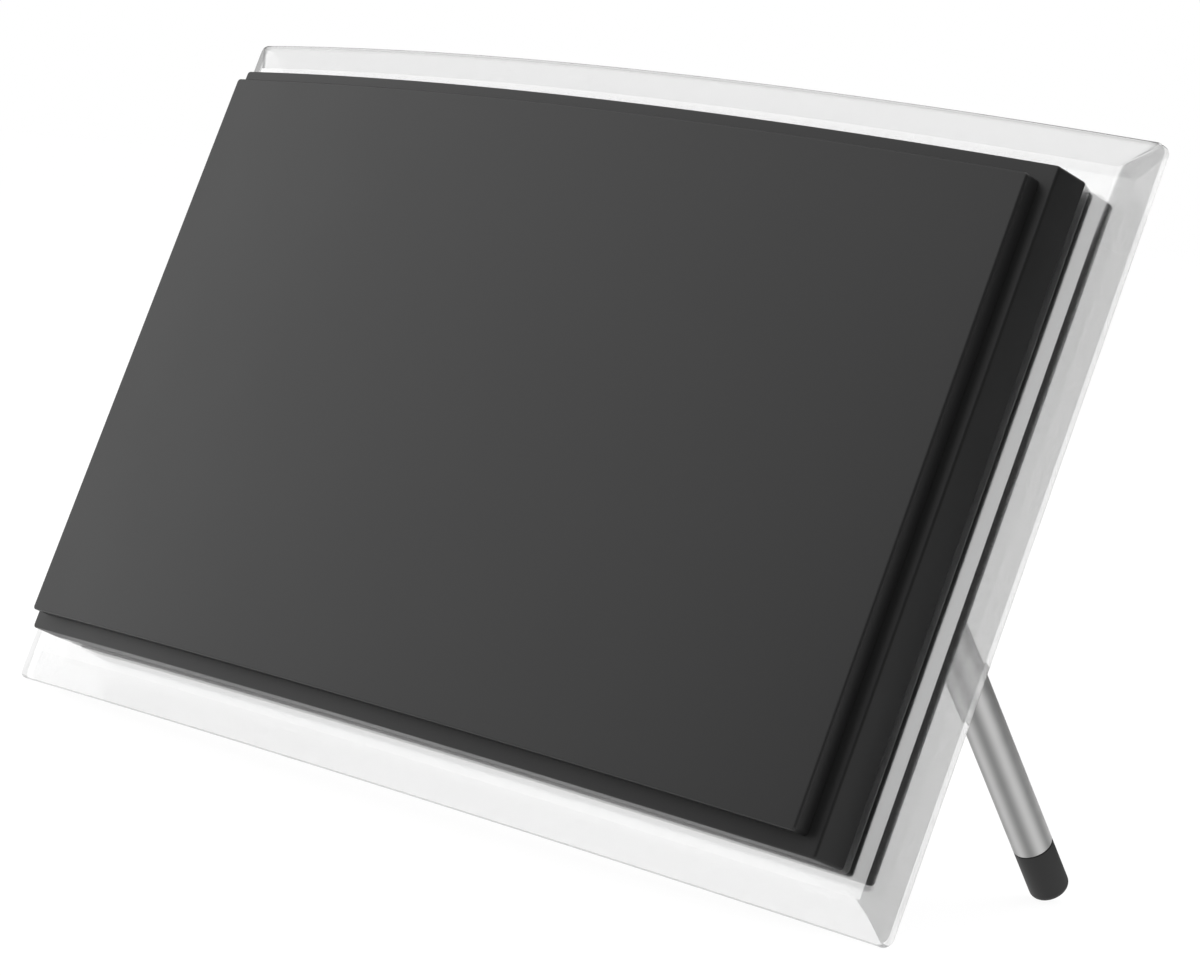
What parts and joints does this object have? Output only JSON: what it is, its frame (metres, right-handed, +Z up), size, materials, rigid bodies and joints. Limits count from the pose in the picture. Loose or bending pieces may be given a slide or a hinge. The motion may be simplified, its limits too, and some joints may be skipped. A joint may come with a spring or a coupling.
{
  "type": "tv antenna",
  "caption": "Flat indoor tv antenna: a dark curved housing clamped on a bevelled clear plate that leans back on metal legs with rubber feet, with a threaded coax outlet at the back.",
  "frame": {"origin": "middle of the bounding box's bottom, on the table the antenna stands on", "axes": "+Z up, +X to the right along the panel's width as seen from the front, +Y to the back; the front faces -Y"},
  "size_m": [0.265, 0.0918, 0.152],
  "materials": {
    "clear_acrylic": "clear cast acrylic sheet with polished edges",
    "housing_black": "moulded charcoal plastic, satin",
    "face_black": "moulded charcoal plastic, satin, finely textured",
    "rear_black": "moulded black plastic, finely textured",
    "leg_metal": "drawn tube, satin",
    "foot_rubber": "moulded black rubber",
    "screw_steel": "zinc plate",
    "contact_brass": "turned brass",
    "element_sheet": "mill finish sheet",
    "tinned_copper": "tinned wire",
    "enamel_wire": "enamelled copper wire",
    "board_green": "solder mask on laminate",
    "ferrite": "sintered ferrite, ground",
    "nickel_plate": "nickel plate",
    "white_insulator": "moulded white plastic"
  },
  "bodies": {
    "root": {"balun_board": "board_green", "balun_core": "ferrite", "board_screws": "screw_steel", "clear_plate": "clear_acrylic", "coax_socket": "nickel_plate", "element_left": "element_sheet", "element_right": "element_sheet", "element_screws": "screw_steel", "face_panel": "face_black", "feed_lead_left": "tinned_copper", "feed_lead_right": "tinned_copper", "foot_cap_left": "foot_rubber", "foot_cap_right": "foot_rubber", "front_housing": "housing_black", "housing_screws": "screw_steel", "leg_insert_left": "contact_brass", "leg_insert_right": "contact_brass", "leg_stud_left": "screw_steel", "leg_stud_right": "screw_steel", "leg_tube_left": "leg_metal", "leg_tube_right": "leg_metal", "primary_winding": "enamel_wire", "rear_cover": "rear_black", "secondary_winding": "enamel_wire", "socket_contact": "contact_brass", "socket_insulator": "white_insulator", "socket_nut": "nickel_plate", "socket_washer": "nickel_plate"}
  },
  "joints": []
}
